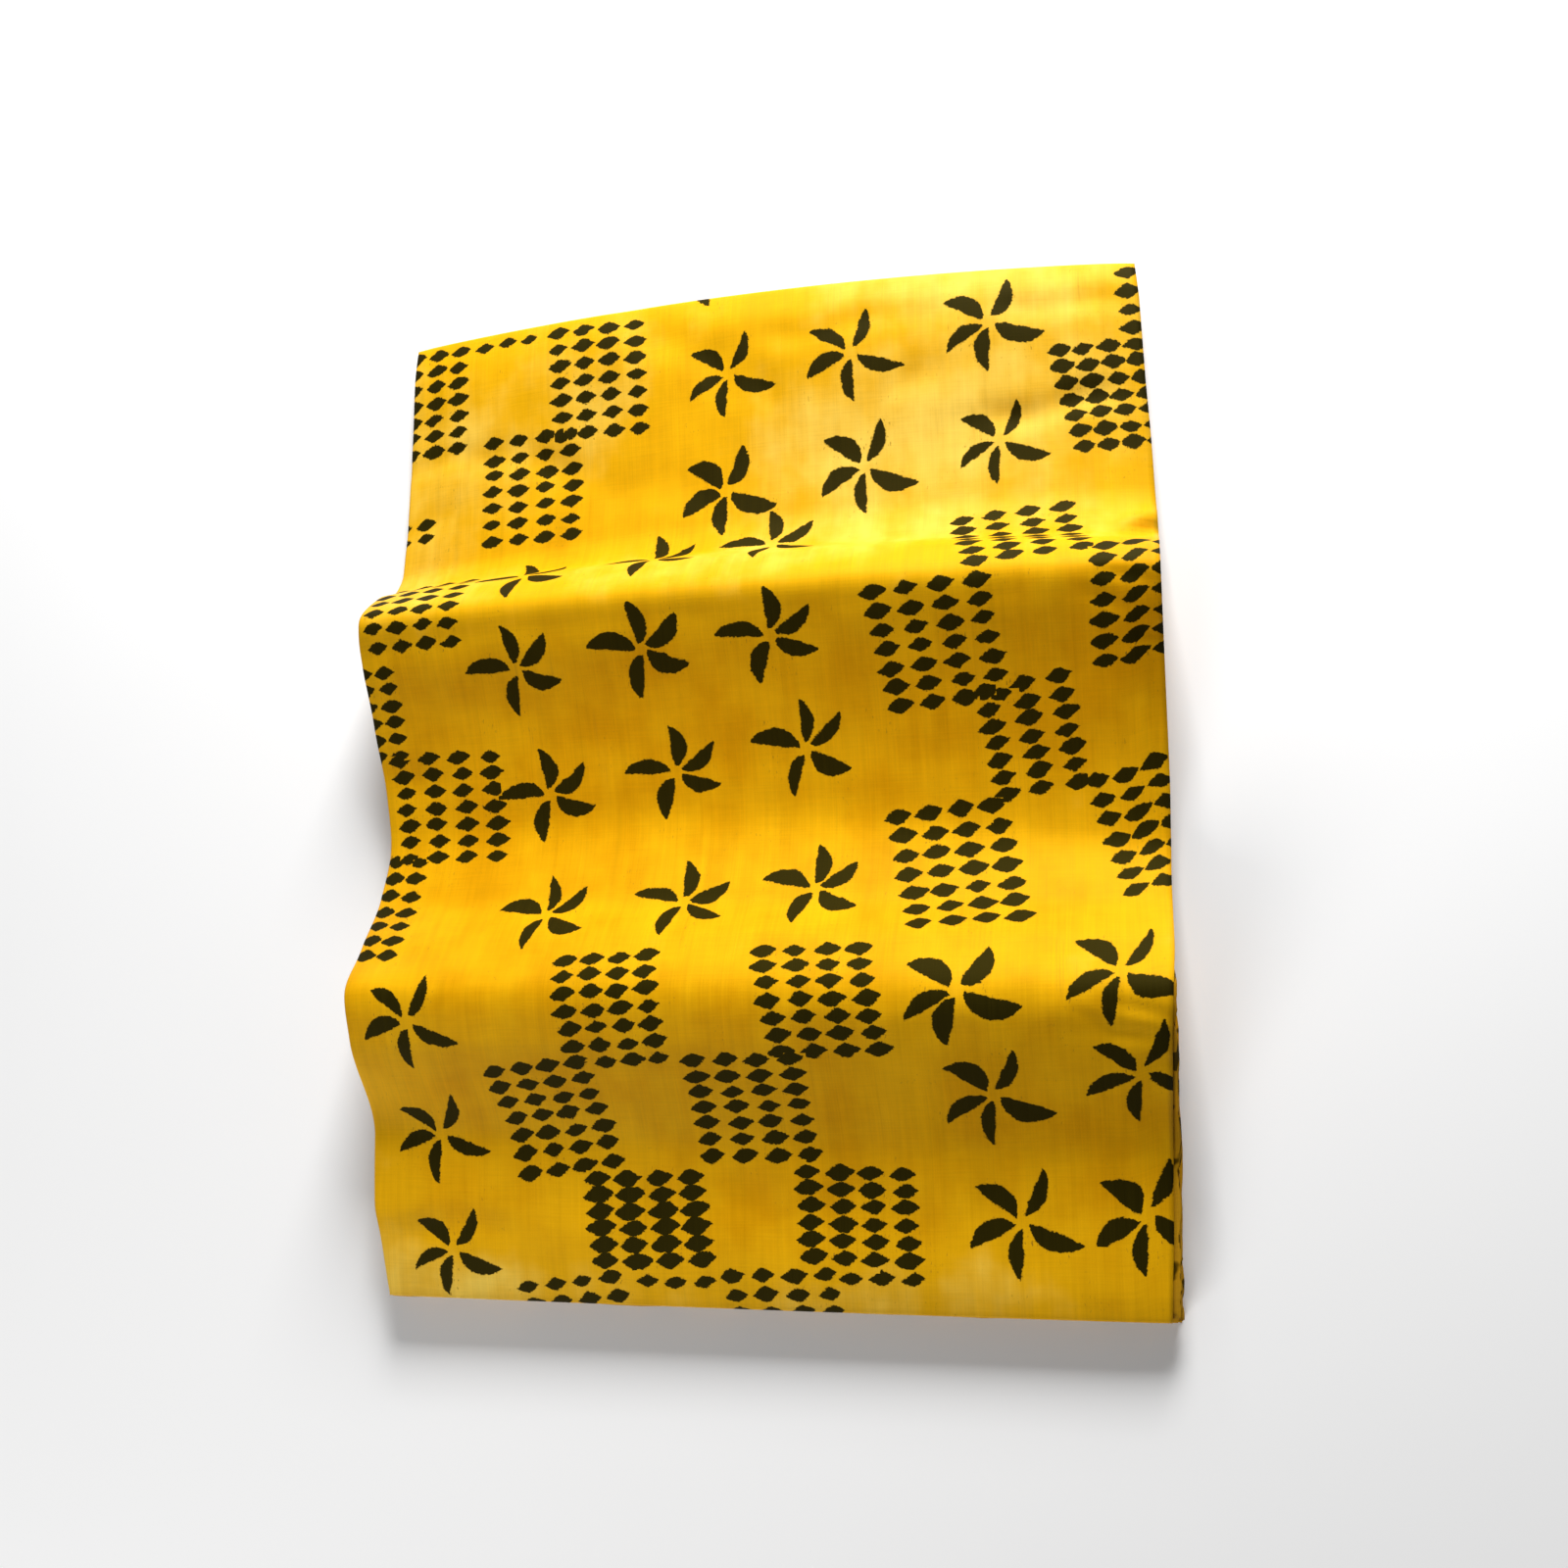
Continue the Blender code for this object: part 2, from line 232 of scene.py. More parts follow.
def below(x, y, depth, soft=1.0):
    """The points that lie a depth under the top of the pile, square to its surface."""
    step = SLOPE_STEP
    lean_x = (height(x + step, y, soft) - height(x - step, y, soft)) / (2 * step)
    lean_y = (height(x, y + step, soft) - height(x, y - step, soft)) / (2 * step)
    facing = np.stack((-lean_x, -lean_y, np.ones_like(x)), -1)
    facing /= np.linalg.norm(facing, axis=-1, keepdims=True)
    return np.stack((x, y, height(x, y, soft)), -1) - facing * np.asarray(depth)[..., None]


# The stamped prints, charted in centimetres of the cloth

# across: from the middle of the cloth to the right. down: along the cloth from its back
# edge. turn: degrees anticlockwise. size: percent of the usual flower or diamond.
# spread: how far the ink has run past the petals' edges, in tenths of a millimetre.
FLOWER_COLUMNS = ("across", "down", "turn", "size", "spread")
FLOWERS = (
    (-1.9, 6.6, 0, 98, -2),
    (7.7, 6.1, 2, 103, 0),
    (18.0, 4.6, 2, 104, 0),
    (-2.2, 15.7, -3, 104, 9),
    (8.5, 14.8, 0, 107, 0),
    (18.5, 13.5, 0, 96, -5),
    (-3.9, -2.6, 6, 100, 0),
    (5.8, -3.3, 6, 100, 0),
    (-17.0, 23.6, 194, 98, 0),
    (-7.1, 22.3, 194, 98, 0),
    (1.7, 21.0, 192, 100, 0),
    (-17.0, 32.6, 196, 99, 2),
    (-7.2, 31.7, 192, 102, 9),
    (2.4, 31.4, 188, 101, 4),
    (-15.5, 42.2, 192, 101, 3),
    (-5.6, 40.9, 188, 99, 2),
    (4.2, 39.7, 190, 101, 4),
    (-14.8, 51.9, 188, 98, 0),
    (-4.6, 51.0, 182, 97, 4),
    (4.9, 50.2, 182, 97, 6),
    (-23.8, 60.7, -4, 102, 0),
    (-23.1, 70.0, -2, 100, -2),
    (-22.3, 78.3, -4, 98, -2),
    (15.3, 59.3, -5, 109, 4),
    (25.8, 58.2, -6, 108, 0),
    (17.2, 66.9, 0, 108, 2),
    (26.8, 65.5, -2, 106, 0),
    (18.6, 75.9, -3, 108, -1),
    (26.7, 75.8, -5, 107, 0),
)
# A block has columns x rows of diamonds, pitch_x and pitch_y apart. lean: degrees by which
# the columns run to the right as they go down.
BLOCK_COLUMNS = ("across", "down", "turn", "lean", "columns", "rows", "pitch_x", "pitch_y",
                 "size")
BLOCKS = (
    (-27.5, 5.1, -2, 0, 4, 7, 2.10, 1.33, 106),
    (-20.2, 1.3, 0, 0, 3, 1, 2.00, 1.35, 90),
    (-12.4, 5.6, -2, 4, 4, 7, 2.12, 1.39, 106),
    (-18.0, 13.6, -2, 3, 4, 7, 2.20, 1.37, 102),
    (-30.2, 15.8, 0, 0, 4, 2, 2.10, 1.20, 96),
    (26.4, 10.4, 5, 7, 4, 7, 1.78, 1.21, 106),
    (30.2, 3.1, 4, 0, 3, 4, 2.10, 1.45, 106),
    (-25.0, 25.8, 0, 4, 4, 7, 2.02, 1.42, 102),
    (-28.4, 35.2, -2, 3, 2, 6, 1.95, 1.30, 104),
    (-23.6, 42.7, -1, 3, 4, 7, 2.44, 1.27, 108),
    (-28.2, 50.9, -5, 4, 3, 7, 1.92, 1.42, 106),
    (20.0, 23.0, 7, 5, 4, 7, 2.40, 1.20, 108),
    (27.7, 30.2, 4, -6, 3, 7, 2.05, 1.38, 110),
    (14.2, 32.7, 4, 4, 4, 7, 2.38, 1.37, 112),
    (20.3, 39.6, 9, -2, 3, 7, 2.54, 1.23, 114),
    (14.9, 49.0, 5, 7, 4, 7, 2.26, 1.51, 120),
    (27.6, 46.6, 10, 6, 3, 7, 1.95, 1.41, 112),
    (-8.8, 60.0, 4, 3, 4, 7, 2.00, 1.26, 106),
    (6.0, 59.6, 1, 9, 4, 7, 2.20, 1.21, 108),
    (-13.9, 68.3, 8, 3, 4, 7, 2.13, 1.35, 110),
    (0.6, 67.6, 1, 3, 4, 7, 2.28, 1.27, 110),
    (-7.5, 75.8, 2, 4, 4, 6, 2.33, 1.15, 128),
    (7.5, 75.5, -2, 4, 4, 6, 2.20, 1.15, 112),
    (-13.2, 81.7, 8, 8, 4, 3, 2.15, 1.34, 102),
    (-5.6, 80.1, 1, 0, 3, 1, 2.14, 1.30, 100),
    (2.0, 80.9, 2, 8, 4, 3, 2.22, 1.30, 102),
    (9.0, 79.7, 0, 0, 3, 1, 2.12, 1.30, 100),
)
# One row for each petal: its direction in degrees, and its length, half width and distance
# from the middle of the flower in millimetres. Each bows out on its clockwise side.
PETAL_COLUMNS = ("turn", "length", "half_width", "start")
PETALS = (
    (68, 31, 5.1, 4.5),
    (150, 31, 5.9, 4.5),
    (210, 32, 5.3, 4.5),
    (268, 31, 5.1, 4.5),
    (345, 36, 5.7, 4.5),
)
PETAL_BOW = 0.84          # how far a petal bows out to one side, in half widths
PETAL_START_POWER = 0.70  # how blunt it is at the middle of the flower, and at its tip
PETAL_TIP_POWER = 0.82
PETAL_PEAK = 2.86         # brings its widest place to a full half width
PRINT_REACH = 3.5         # how many diamond or petal sizes away a print still counts

# How the ink lies, in metres
LOOSE_EDGE = 0.0036       # how far the cloth's own looseness moves a print's edge
STEEP_CALM = 0.75         # share of that wandering that is lost where the cloth is steep
INK_SOFT = (-0.00025, 0.00030)
HALO_WIDTH = 0.0011
HALO_SHARE = 0.40
STEEP_FROM = 0.85         # the cloth is steep where it faces up by less than this share,
STEEP_RANGE = 0.35        # and fully so where it is this much less

# Relief of the yarns, and the sheen of the cotton
YARN_RELIEF = 0.00035
YARN_STRENGTH = 0.6
COTTON_SHEEN = {"Specular IOR Level": 0.16, "Specular Tint": (1.0, 0.75, 0.08)}

# Broad soft patches of colour, in centimetres of the cloth: uneven dyeing, and painted light
# and shade. Pale patches at the back edge, on the top tier, the first ridge's back and the front
# edge are painted light; deep ones on the ridges' front slopes are painted shade. pale: above 0
# for thin, milky dyeing and for painted light, below 0 for thick dyeing and for painted shade.
DYE_AND_LIGHT_COLUMNS = ("across", "down", "half_width", "half_length", "pale")
DYE_AND_LIGHT_PATCHES = (
    (22, 8, 13, 9, 0.65),
    (12, 1, 10, 3, 0.70),
    (-26, 12, 7, 8, 0.65),
    (-12, 8, 6, 7, 0.50),
    (-6, 11, 4, 8, -0.45),
    (-14, 17, 7, 4, -0.25),
    (5, 12, 9, 6, 0.60),
    (14, 14, 9, 5, 0.55),
    (-4, 24, 20, 5, 0.70),
    (-25, 26, 6, 5, 0.30),
    (16, 20, 12, 4, 0.40),
    (-10, 36, 16, 9, -0.55),
    (22, 36, 10, 7, -0.60),
    (27, 31, 4, 5, -0.60),
    (-22, 50, 12, 9, -0.70),
    (10, 47, 16, 7, -0.25),
    (24, 52, 10, 6, 0.10),
    (0, 62, 20, 6, -0.35),
    (-22, 72, 6, 8, -0.30),
    (-28, 77, 5, 6, 0.55),
    (-24, 81, 8, 2.5, 0.85),
    (4, 73, 14, 6, -0.50),
    (2, 81, 16, 2.5, 0.60),
    (24, 70, 8, 8, -0.45),
    (24, 80, 10, 3, 0.10),
)

# The under leaf
UNDER_DEPTH = 0.0016      # how far it lies under the top of the pile
UNDER_INSET = FOLD_RADIUS + 0.0005
UNDER_ROWS = 160
UNDER_FRAY = 0.0012       # how far its woven edge wanders in
UNDER_START = 0.004       # cloth length before its first row, for the print of the yarns
# painted shade: the under leaf's colour is scaled by this share
UNDER_SHADE = 0.78

# Edge shapes of the hidden folds, as on the solids
HIDDEN_FOLDS = 4
RISE_SHARES = (0.0, 0.24, 0.55, 0.86)
FOLD_SHARE = 0.78
FOLD_GROWTH = 0.12
FOLD_MOST = 0.0046
HIDDEN_DEPTH = 0.0032     # how far their top lies under the top of the pile
HIDDEN_CREASES = 0.85     # share of the top leaf's creases that they have
RIM_FALL = 0.0042         # how much their top falls at the rim, and how far in it does
RIM_REACH = 0.006
RIM_LEAST = 0.0105        # rim height at which all the folds are equally thick
SEAM_GAP = 0.0003         # how far each fold stays from a seam inside the pile
SEAM_START, SEAM_RUN = 0.002, 0.016
TOP_GAP = 0.0004          # how far the highest fold stays under that top there
PAIR_WIDTH = 1.16         # flat width of a folded pair, with its rounded edges
HIDDEN_WIDTH = 0.580      # about the width of a fold, for the mesh steps
RIM_STEPS = (0, 0.0012, 0.003, 0.006, 0.010, 0.015, 0.021, 0.030)
END_STEPS = (0, 0.05, 0.12, 0.24, 0.40, 0.60, 0.80)      # in row numbers
HIDDEN_COLUMNS, HIDDEN_ROWS = 26, 66
RING_STEPS = 6            # mesh steps round a folded edge
RING_BULGE = 0.8

# Camera: place, and the directions of its right, down and forward axes
CAMERA_PLACE = (0.28757, -0.18088, 1.10078)
CAMERA_RIGHT = (0.97074, -0.00697, -0.24003)
CAMERA_DOWN = (-0.04400, -0.98782, -0.14927)
CAMERA_FORWARD = (-0.23607, 0.15546, -0.95922)
CAMERA_SENSOR = 36        # in millimetres
CAMERA_LENS = 35.548

# Lamps: name, place, size in metres and power in watts
LAMPS = (
    ("window", (0.361, 2.047, 1.200), 0.9, 95),
    ("room_side", (-1.040, -1.800, 1.200), 1.2, 24),
)
ROOM_LIGHT = 0.07
FLOOR_HALF = 6
FLOOR_DEPTH = 0.0002      # how far the floor lies under the cloth


# Sizes and colours that a user would change

class ClothSizes(bpy.types.PropertyGroup):
    """Sizes of the leaves and of their meshes."""
    leaf: FloatProperty(name="Leaf", description="Thickness of one leaf of the cloth",
                        default=0.0006, min=0.0002, max=0.0015, unit="LENGTH")
    columns: IntProperty(name="Columns", description="Mesh columns across the top leaf",
                         default=150, min=40, max=180)
    rows: IntProperty(name="Rows", description="Mesh rows along the top leaf",
                      default=230, min=60, max=260)
    turn_steps: IntProperty(name="Turn steps", description="Mesh lines round a folded side",
                            default=8, min=4, max=12)


class ClothColours(bpy.types.PropertyGroup):
    """Colours of the dyed cotton and its prints, as linear values."""
    ground: FloatVectorProperty(name="Ground", description="Golden yellow of the dyed cloth",
                                default=(0.83, 0.425, 0.003), subtype="COLOR", size=3)
    # deep and pale also give painted shade and painted light, where the patches of colour lie on
    # shaded and lit parts of the cloth.
    deep: FloatVectorProperty(name="Deep", description="Deeper amber where the dye lies thick",
                              default=(0.77, 0.345, 0.001), subtype="COLOR", size=3)
    pale: FloatVectorProperty(name="Pale", description="Milky yellow where the dye is thin",
                              default=(0.87, 0.585, 0.088), subtype="COLOR", size=3)
    ink: FloatVectorProperty(name="Ink", description="Black of the stamped prints",
                             default=(0.0165, 0.0122, 0.0009), subtype="COLOR", size=3)
    halo: FloatVectorProperty(name="Halo", description="Brown rim where the ink has bled",
                              default=(0.30, 0.15, 0.010), subtype="COLOR", size=3)
    # inner is painted shade: the leaves below are made darker for lying under the top leaf.
    inner: FloatVectorProperty(name="Inner", description="Darker amber of the leaves below",
                               default=(0.56, 0.31, 0.020), subtype="COLOR", size=3)


class StampSizes(bpy.types.PropertyGroup):
    """Sizes of the prints."""
    diamond_x: FloatProperty(name="Diamond width", description="Half width of one diamond",
                             default=0.0088, unit="LENGTH")
    diamond_y: FloatProperty(name="Diamond height", description="Half height of one diamond",
                             default=0.0049, unit="LENGTH")
    ragged: FloatProperty(name="Ragged edge", description="How far a print's edge wanders",
                          default=0.0014, unit="LENGTH")


# Shader sums written as expressions

class Value:
    """One output of a material's nodes, with the sums that can be done with it."""

    def __init__(self, paint, socket):
        self.paint = paint
        self.socket = socket

    def __add__(self, other):
        return self.paint.math("ADD", self, other)

    def __sub__(self, other):
        return self.paint.math("SUBTRACT", self, other)

    def __rsub__(self, other):
        return self.paint.math("SUBTRACT", other, self)

    def __mul__(self, other):
        return self.paint.math("MULTIPLY", self, other)

    def __truediv__(self, other):
        return self.paint.math("DIVIDE", self, other)

    def __pow__(self, other):
        return self.paint.math("POWER", self, other)

    __radd__ = __add__
    __rmul__ = __mul__

    def __abs__(self):
        return self.paint.math("ABSOLUTE", self)

    def floor(self):
        return self.paint.math("FLOOR", self)

    def least(self, other):
        return self.paint.math("MINIMUM", self, other)

    def most(self, other):
        return self.paint.math("MAXIMUM", self, other)

    def over(self, limit):
        return self.paint.math("GREATER_THAN", self, limit)

    def under(self, limit):
        return self.paint.math("LESS_THAN", self, limit)

    def between(self, low, high):
        """0 at low and 1 at high, eased in and out."""
        node = self.paint.node("ShaderNodeMapRange", {"interpolation_type": "SMOOTHSTEP"},
                               {"Value": self, "From Min": low, "From Max": high})
        return Value(self.paint, node.outputs["Result"])


class Paint:
    """A material, and the nodes that are added to it."""

    def __init__(self, name):
        self.material = bpy.data.materials.new(name)
        self.material.use_nodes = True
        self.tree = self.material.node_tree
        self.shader = self.tree.nodes["Principled BSDF"]

    def feed(self, socket, value):
        if isinstance(value, Value):
            self.tree.links.new(value.socket, socket)
        elif isinstance(value, tuple) and socket.type == "RGBA":
            socket.default_value = (*value[:3], 1.0)
        else:
            socket.default_value = value

    def node(self, kind, settings, values):
        """A node of any type: its settings first, and then its sockets by name or number."""
        made = self.tree.nodes.new(kind)
        for name, setting in settings.items():
            setattr(made, name, setting)
        for name, value in values.items():
            self.feed(made.inputs[name], value)
        return made

    def math(self, operation, first, second=None):
        values = {0: first} if second is None else {0: first, 1: second}
        node = self.node("ShaderNodeMath", {"operation": operation}, values)
        return Value(self, node.outputs[0])

    def mix(self, share, first, second):
        """From the first colour to the second."""
        node = self.node("ShaderNodeMix", {"data_type": "RGBA"}, {0: share, 6: first, 7: second})
        return Value(self, node.outputs[2])

    def tint(self, colour, amount):
        """A colour made lighter or darker by a number."""
        node = self.node("ShaderNodeVectorMath", {"operation": "SCALE"},
                         {0: colour, "Scale": amount})
        return Value(self, node.outputs[0])

    def attribute(self, name):
        node = self.node("ShaderNodeAttribute", {"attribute_name": name}, {})
        return Value(self, node.outputs["Vector"])

    def parts(self, vector):
        node = self.node("ShaderNodeSeparateXYZ", {}, {0: vector})
        return tuple(Value(self, output) for output in node.outputs)

    def vector(self, x, y, z=0.0):
        node = self.node("ShaderNodeCombineXYZ", {}, {0: x, 1: y, 2: z})
        return Value(self, node.outputs[0])

    def noise(self, vector, scale, detail=2.0, roughness=0.5):
        node = self.node("ShaderNodeTexNoise", {}, {
            "Vector": vector, "Scale": scale, "Detail": detail, "Roughness": roughness})
        return Value(self, node.outputs[0])

    def noise_colour(self, vector, scale, detail=2.0):
        node = self.node("ShaderNodeTexNoise", {}, {
            "Vector": vector, "Scale": scale, "Detail": detail})
        return self.parts(Value(self, node.outputs[1]))

    def chance(self, vector):
        """Three fixed random numbers for each place."""
        node = self.node("ShaderNodeTexWhiteNoise", {}, {"Vector": vector})
        return self.parts(Value(self, node.outputs["Color"]))

    def bump(self, relief, distance, strength=1.0):
        node = self.node("ShaderNodeBump", {}, {
            "Height": relief, "Distance": distance, "Strength": strength})
        return Value(self, node.outputs[0])

    def finish(self, colour, roughness, normal, fixed=()):
        self.feed(self.shader.inputs["Base Color"], colour)
        self.feed(self.shader.inputs["Roughness"], roughness)
        self.feed(self.shader.inputs["Normal"], normal)
        for name, value in dict(fixed).items():
            self.feed(self.shader.inputs[name], value)
        return self.material


def weave(paint, across_cloth, down_cloth):
    """Yarns of the cotton: streaks down the cloth, finer lines across it, and its relief."""
    streaks = paint.noise(paint.vector(across_cloth * 900, down_cloth * 14), 1.0, 3.0, 0.6)
    slubs = paint.noise(paint.vector(across_cloth * 240, down_cloth * 9), 1.0, 2.0, 0.5)
    picks = paint.noise(paint.vector(across_cloth * 30, down_cloth * 800), 1.0, 2.0, 0.5)
    relief = streaks * 0.5 + slubs * 0.3 + picks * 0.3
    return streaks, slubs, picks, relief


def flower_edge(paint, x, y, luck):
    """How far each place is outside the nearest petal, in metres: less than 0 is inside."""
    nearest = None
    for number, petal in enumerate(named_rows(PETAL_COLUMNS, PETALS)):
        turn = luck[number % 3] * 0.20 - 0.10 + math.radians(petal["turn"])
        fuller = luck[(number + 1) % 3] * 0.36 + 0.84
        cosine, sine = paint.math("COSINE", turn), paint.math("SINE", turn)
        along = (x * cosine + y * sine - petal["start"] / 1000) / (petal["length"] / 1000)
        aside = y * cosine - x * sine
        arch = (along.most(0.0) ** PETAL_START_POWER
                * (1 - along).most(0.0) ** PETAL_TIP_POWER * PETAL_PEAK)
        fat = arch * fuller * (petal["half_width"] / 1000)
        gap = abs(aside + fat * PETAL_BOW) - fat
        gap = gap + (1 - arch.over(0.0)) * 0.02
        nearest = gap if nearest is None else nearest.least(gap)
    return nearest


def diamond_edge(paint, x, y, facts, seed, size, sizes):
    """The same for the nearest diamond of a block."""
    columns, rows, pitch_x, pitch_y = facts
    cell_x = x / pitch_x + columns * 0.5
    cell_y = y / pitch_y + rows * 0.5
    whole_x, whole_y = cell_x.floor(), cell_y.floor()
    luck = paint.chance(paint.vector(whole_x + seed * 7.0, whole_y + seed * 13.0, seed))
    off_x = (cell_x - whole_x - 0.5 + (luck[0] - 0.5) * 0.08) * pitch_x
    off_y = (cell_y - whole_y - 0.5 + (luck[1] - 0.5) * 0.10) * pitch_y
    off_y = off_y - off_x * 0.11
    grown = (luck[2] * 0.20 + 0.90) * size
    from_tip = (1 - (abs(off_x) / (grown * sizes.diamond_x)) ** 1.45).most(0.0)
    tall = from_tip * grown * sizes.diamond_y
    in_block = (whole_x.over(-0.5) * whole_x.under(columns - 0.5)
                * whole_y.over(-0.5) * whole_y.under(rows - 0.5))
    return abs(off_y) - tall + (1 - from_tip.over(0.0)) * 0.01 + (1 - in_block) * 0.02


def stamped_cotton(name, colours, sizes):
    """Lustrous yellow cotton with black hand-stamped flowers and blocks of diamonds."""
    paint = Paint(name)
    across_cloth, down_cloth, _ = paint.parts(paint.attribute("cloth"))
    cloth = paint.vector(across_cloth, down_cloth)
    stamp_x, stamp_y, _ = paint.parts(paint.attribute("stamp"))
    kind, seed, size = paint.parts(paint.attribute("stamp_kind"))
    columns, rows, spread = paint.parts(paint.attribute("block_count"))
    pitch_x, pitch_y, _ = paint.parts(paint.attribute("block_pitch"))
    dye_and_light, steep, _ = paint.parts(paint.attribute("dye_and_light"))

    rough_x, rough_y, _ = paint.noise_colour(cloth, 640.0, 5.0)
    loose_x, loose_y, _ = paint.noise_colour(cloth, 105.0, 2.0)
    wander = 1 - steep * STEEP_CALM
    ragged = 2 * sizes.ragged
    x = stamp_x + ((rough_x - 0.5) * ragged + (loose_x - 0.5) * LOOSE_EDGE) * wander
    y = stamp_y + ((rough_y - 0.5) * ragged + (loose_y - 0.5) * LOOSE_EDGE) * wander

    luck = paint.chance(paint.vector(seed, seed * 3.0))
    is_flower = kind.over(0.5) * kind.under(1.5)
    is_block = kind.over(1.5)
    gap = ((flower_edge(paint, x / size, y / size, luck) - spread) * is_flower
           + diamond_edge(paint, x, y, (columns, rows, pitch_x, pitch_y), seed, size, sizes)
           * is_block + (1 - is_flower) * (1 - is_block))
    ink = 1 - gap.between(*INK_SOFT)
    halo = (1 - gap.between(0.0, HALO_WIDTH)) * HALO_SHARE

    streaks, slubs, picks, relief = weave(paint, across_cloth, down_cloth)
    blotches = paint.noise(cloth, 22.0, 3.0, 0.55)
    clouds = paint.noise(cloth, 7.0, 2.0, 0.5)
    brushed = paint.noise(paint.vector(across_cloth * 75, down_cloth * 11), 1.0, 2.0, 0.5)
    worn = paint.noise(paint.vector(across_cloth * 26, down_cloth * 7), 1.0, 3.0, 0.6)
    # The ground turns paler or deeper with the patches and with noise: uneven dyeing, and painted
    # light and painted shade where the patches lie on lit and shaded slopes.
    pale = dye_and_light + (blotches - 0.5) * 1.5 + (clouds - 0.5) * 1.2 + (worn - 0.5) * 1.1 - 0.10
    ground = paint.mix(pale.between(0.0, 1.3), tuple(colours.ground), tuple(colours.pale))
    ground = paint.mix((0 - pale).between(0.0, 1.1), ground, tuple(colours.deep))
    uneven = ((streaks - 0.5) * 0.26 + (slubs - 0.5) * 0.18 + (picks - 0.5) * 0.16
              + (brushed - 0.5) * 0.16 + (blotches - 0.5) * 0.26 + (worn - 0.5) * 0.20)
    ground = paint.tint(ground, uneven + 0.99)

    flecks = paint.noise(paint.vector(across_cloth * 560, down_cloth * 200), 1.0, 2.0, 0.6)
    patchy = paint.noise(cloth, 34.0, 1.0)
    near_ink = 1 - gap.between(0.001, 0.010)
    fleck = flecks.between(0.62, 0.70) * (patchy.between(0.56, 0.68) * 0.5 + near_ink
                                          * patchy.between(0.46, 0.58) * 0.7).least(1.0)
    smear = brushed.between(0.63, 0.72) * streaks.between(0.45, 0.62) * clouds.between(0.45, 0.6)
    ground = paint.mix(fleck * 0.85, ground, tuple(colours.halo))
    ground = paint.mix(smear * 0.30, ground, tuple(colours.halo))
    ground = paint.mix(halo * (1 - ink), ground, tuple(colours.halo))
    inked = paint.tint(tuple(colours.ink), streaks * 0.9 + slubs * 0.5 + 0.4)
    colour = paint.mix(ink, ground, inked)

    roughness = 0.54 + (slubs - 0.5) * 0.10 + (streaks - 0.5) * 0.10 + ink * 0.14
    normal = paint.bump(relief - ink * 0.10, YARN_RELIEF, YARN_STRENGTH)
    return paint.finish(colour, roughness, normal, COTTON_SHEEN)


def inner_cotton_painted_shade(name, colours, amount):
    """The leaves below: the same cotton in deeper amber as painted shade, with dark patches of
    print.
    """
    paint = Paint(name)
    across_cloth, down_cloth, _ = paint.parts(paint.attribute("cloth"))
    cloth = paint.vector(across_cloth, down_cloth)
    streaks, slubs, picks, relief = weave(paint, across_cloth, down_cloth)
    blotches = paint.noise(cloth, 20.0, 3.0, 0.55)
    prints = paint.noise(cloth, 46.0, 2.0, 0.4).between(0.60, 0.64)
    # Painted shade: the inner and deep ambers, and the amount that scales them, darken these
    # leaves.
    ground = paint.mix(blotches, tuple(colours.inner), tuple(colours.deep))
    ground = paint.tint(ground, ((streaks - 0.5) * 0.4 + (picks - 0.5) * 0.3 + 1.0) * amount)
    colour = paint.mix(prints * 0.9, ground, tuple(colours.ink))
    roughness = 0.5 + (slubs - 0.5) * 0.1
    normal = paint.bump(relief, YARN_RELIEF, YARN_STRENGTH)
    return paint.finish(colour, roughness, normal, COTTON_SHEEN)


# Meshes

def grid_faces(rows, columns, start=0):
    """Faces of a grid of points that runs row by row, seen from above."""
    corner = (np.arange(rows - 1)[:, None] * columns + np.arange(columns - 1)).ravel() + start
    return np.stack((corner, corner + columns, corner + columns + 1, corner + 1), -1)


def make_piece(name, points, faces, cloth_uv):
    """An object from points and faces, with the cloth's own coordinates on its corners."""
    mesh = bpy.data.meshes.new(name)
    mesh.from_pydata(points.tolist(), [], faces.tolist())
    corners = np.empty(len(mesh.loops), dtype=int)
    mesh.loops.foreach_get("vertex_index", corners)
    layer = mesh.uv_layers.new(name="cloth")
    layer.data.foreach_set("uv", cloth_uv[corners].ravel())
    mesh.shade_smooth()
    piece = bpy.data.objects.new(name, mesh)
    bpy.context.scene.collection.objects.link(piece)
    return piece


def add_wall(piece, thickness):
    """Give an open sheet its wall, on its under side."""
    wall = piece.modifiers.new("wall", "SOLIDIFY")
    wall.thickness = thickness
    wall.offset = -1
    wall.use_quality_normals = True


def even_rows(count):
    """Row numbers that lie evenly along the cloth at its middle."""
    fine = np.linspace(0, LAST_LINE, 2000)
    x = np.zeros_like(fine)
    y = row_y(x, fine)
    z = height(x, y, 0.0)
    length = np.concatenate(([0], np.cumsum(np.hypot(np.diff(y), np.diff(z)))))
    return np.interp(np.linspace(0, length[-1], count), length, fine)


def distance_down(points):
    """Distance along each column of a grid, from its first row."""
    steps = np.linalg.norm(np.diff(points, axis=0), axis=-1)
    return np.vstack((np.zeros(points.shape[1]), np.cumsum(steps, axis=0)))


def stamp_rows():
    """Every stamp as named values; a flower doesn't lean and has no columns."""
    flowers = [{"lean": 0, "columns": 0, **row} for row in named_rows(FLOWER_COLUMNS, FLOWERS)]
    return flowers + named_rows(BLOCK_COLUMNS, BLOCKS)


